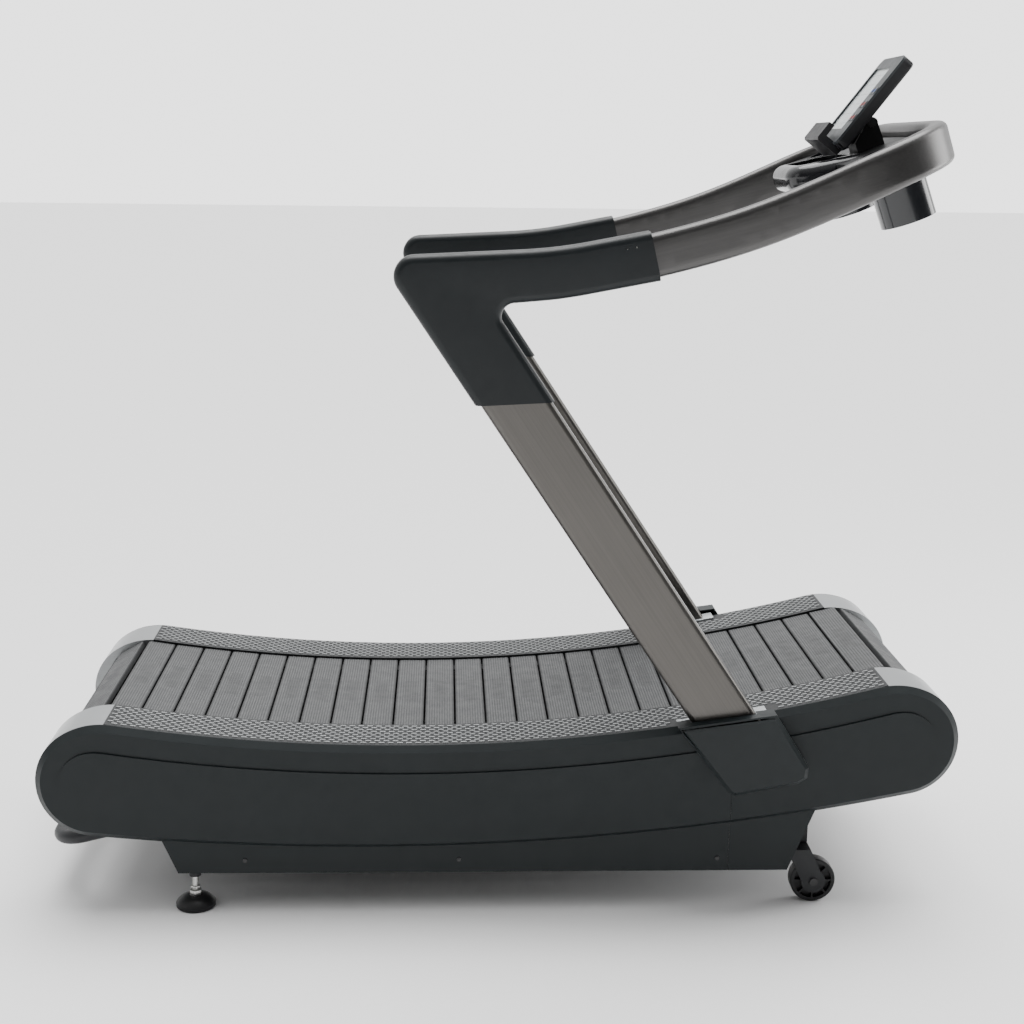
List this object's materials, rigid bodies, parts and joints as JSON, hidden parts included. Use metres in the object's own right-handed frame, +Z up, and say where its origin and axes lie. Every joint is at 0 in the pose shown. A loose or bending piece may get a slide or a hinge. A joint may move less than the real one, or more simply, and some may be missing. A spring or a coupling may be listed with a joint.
{
  "type": "curved manual treadmill",
  "caption": "Non-motorised treadmill with a concave slat belt between foot rails, leaning uprights, a bow handrail, a tilting console display and transport wheels.",
  "frame": {"origin": "centre of the footprint of the whole object, on the floor", "axes": "+X towards the front, where the uprights and console are; +Y to the user's left when facing forward; +Z up"},
  "size_m": [1.786, 0.796, 1.6493],
  "materials": {
    "slat_rubber": "matt grey-black rubber with fine ribs",
    "belt_band": "smooth black rubber",
    "zinc_steel": "zinc-plated, satin",
    "drive_pulley": "moulded, matt black",
    "base_frame_paint": "fine-textured black powder coat",
    "track_black": "satin black paint",
    "upright_metal": "warm gunmetal, brushed and lacquered",
    "side_cover_plastic": "satin dark blue-grey moulding with a fine texture",
    "foot_rail_grip": "dark with raised grey grip dashes",
    "end_cap_silver": "light silver-grey satin paint",
    "base_cover_plastic": "satin dark grey",
    "handrail_metal": "gunmetal, metallic satin",
    "elbow_plastic": "satin black-grey",
    "console_gloss": "polished black",
    "cup_gloss": "polished black",
    "console_black": "satin black",
    "monitor_black": "fine-textured black",
    "bezel_grey": "satin dark grey",
    "screen_clear": "clear polished acrylic over the display",
    "board_green": "circuit board",
    "black_screw": "blackened steel screws and pin",
    "key_grey": "satin grey key top",
    "wheel_tyre": "hard black wheel with radial ribs",
    "pad_rubber": "domed black rubber foot"
  },
  "bodies": {
    "base": {"base_frame": "base_frame_paint", "guide_tracks": "track_black", "guide_rollers": "drive_pulley", "bearing_blocks": "base_frame_paint", "upright_left": "upright_metal", "upright_right": "upright_metal", "rear_cover_left": "side_cover_plastic", "rear_cover_right": "side_cover_plastic", "front_cover_left": "side_cover_plastic", "front_cover_right": "side_cover_plastic", "foot_rail_left": "foot_rail_grip", "foot_rail_right": "foot_rail_grip", "front_cap_left": "end_cap_silver", "front_cap_right": "end_cap_silver", "rear_cap_left": "end_cap_silver", "rear_cap_right": "end_cap_silver", "upright_base_cover_left": "base_cover_plastic", "upright_base_cover_right": "base_cover_plastic", "handrail_bow": "handrail_metal", "elbow_top_cover_left": "elbow_plastic", "elbow_lower_cover_left": "elbow_plastic", "elbow_top_cover_right": "elbow_plastic", "elbow_lower_cover_right": "elbow_plastic", "console_plate": "console_black", "console_tray": "console_gloss", "cup_holders": "cup_gloss", "console_neck": "console_black", "tilt_pin": "black_screw", "wheel_brackets": "base_frame_paint", "wheel_bolts": "black_screw", "lift_handle": "base_frame_paint", "cover_screws": "black_screw"},
    "belt_top": {"slats_top": "slat_rubber", "bands_top": "belt_band"},
    "belt_front": {"slats_front": "slat_rubber", "bands_front": "belt_band", "front_shaft": "zinc_steel", "front_pulleys": "drive_pulley"},
    "belt_return": {"slats_return": "slat_rubber", "bands_return": "belt_band"},
    "belt_rear": {"slats_rear": "slat_rubber", "bands_rear": "belt_band", "rear_shaft": "zinc_steel", "rear_pulleys": "drive_pulley"},
    "monitor": {"monitor_back": "monitor_black", "monitor_bezel": "bezel_grey", "screen_lens": "screen_clear", "display_board": "board_green"},
    "key_right_1": {"key_right_1": "key_grey"},
    "key_right_2": {"key_right_2": "key_grey"},
    "key_right_3": {"key_right_3": "key_grey"},
    "key_left_1": {"key_left_1": "key_grey"},
    "key_left_2": {"key_left_2": "key_grey"},
    "key_left_3": {"key_left_3": "key_grey"},
    "wheel_left": {"wheel_left": "wheel_tyre"},
    "wheel_right": {"wheel_right": "wheel_tyre"},
    "foot_left": {"foot_pad_left": "pad_rubber", "foot_stud_left": "zinc_steel"},
    "foot_right": {"foot_pad_right": "pad_rubber", "foot_stud_right": "zinc_steel"}
  },
  "joints": [
    {"name": "belt_run", "type": "hinge", "parent": "base", "child": "belt_top", "pos_m": [-0.1888, 0, 4.0813], "axis": [0, 1, 0], "range_deg": [-0.47, 0.47]},
    {"name": "belt_front_turn", "type": "hinge", "parent": "base", "child": "belt_front", "pos_m": [0.76479, 0, 0.35488], "axis": [0, 1, 0], "range_deg": [-20.5, 20.5]},
    {"name": "belt_rear_turn", "type": "hinge", "parent": "base", "child": "belt_rear", "pos_m": [-0.75985, 0, 0.27742], "axis": [0, 1, 0], "range_deg": [-20.5, 20.5]},
    {"name": "belt_return_run", "type": "hinge", "parent": "base", "child": "belt_return", "pos_m": [-0.17083, 0, 3.7275], "axis": [0, 1, 0], "range_deg": [-0.5, 0.5]},
    {"name": "monitor_tilt", "type": "hinge", "parent": "base", "child": "monitor", "pos_m": [0.7304, 0, 1.52192], "axis": [0, 1, 0], "range_deg": [-3, 18]},
    {"name": "key_right_1_press", "type": "slide", "parent": "monitor", "child": "key_right_1", "axis": [0.7923, 0, -0.6102], "range_m": [0, 0.001], "stiffness_N_per_m": 500, "springref_m": -0.001},
    {"name": "key_right_2_press", "type": "slide", "parent": "monitor", "child": "key_right_2", "axis": [0.7923, 0, -0.6102], "range_m": [0, 0.001], "stiffness_N_per_m": 500, "springref_m": -0.001},
    {"name": "key_right_3_press", "type": "slide", "parent": "monitor", "child": "key_right_3", "axis": [0.7923, 0, -0.6102], "range_m": [0, 0.001], "stiffness_N_per_m": 500, "springref_m": -0.001},
    {"name": "key_left_1_press", "type": "slide", "parent": "monitor", "child": "key_left_1", "axis": [0.7923, 0, -0.6102], "range_m": [0, 0.001], "stiffness_N_per_m": 500, "springref_m": -0.001},
    {"name": "key_left_2_press", "type": "slide", "parent": "monitor", "child": "key_left_2", "axis": [0.7923, 0, -0.6102], "range_m": [0, 0.001], "stiffness_N_per_m": 500, "springref_m": -0.001},
    {"name": "key_left_3_press", "type": "slide", "parent": "monitor", "child": "key_left_3", "axis": [0.7923, 0, -0.6102], "range_m": [0, 0.001], "stiffness_N_per_m": 500, "springref_m": -0.001},
    {"name": "wheel_left_spin", "type": "hinge", "parent": "base", "child": "wheel_left", "pos_m": [0.626, 0.304, 0.045], "axis": [0, 1, 0], "continuous": true},
    {"name": "wheel_right_spin", "type": "hinge", "parent": "base", "child": "wheel_right", "pos_m": [0.626, -0.304, 0.045], "axis": [0, 1, 0], "continuous": true},
    {"name": "foot_left_height", "type": "slide", "parent": "base", "child": "foot_left", "axis": [0, 0, 1], "range_m": [-0.01, 0.01]},
    {"name": "foot_right_height", "type": "slide", "parent": "base", "child": "foot_right", "axis": [0, 0, 1], "range_m": [-0.01, 0.01]}
  ],
  "couplings": [
    {"joint": "belt_front_turn", "follows": "belt_run", "ratio": -43.213},
    {"joint": "belt_rear_turn", "follows": "belt_run", "ratio": -43.213},
    {"joint": "belt_return_run", "follows": "belt_run", "ratio": -1.0481}
  ]
}
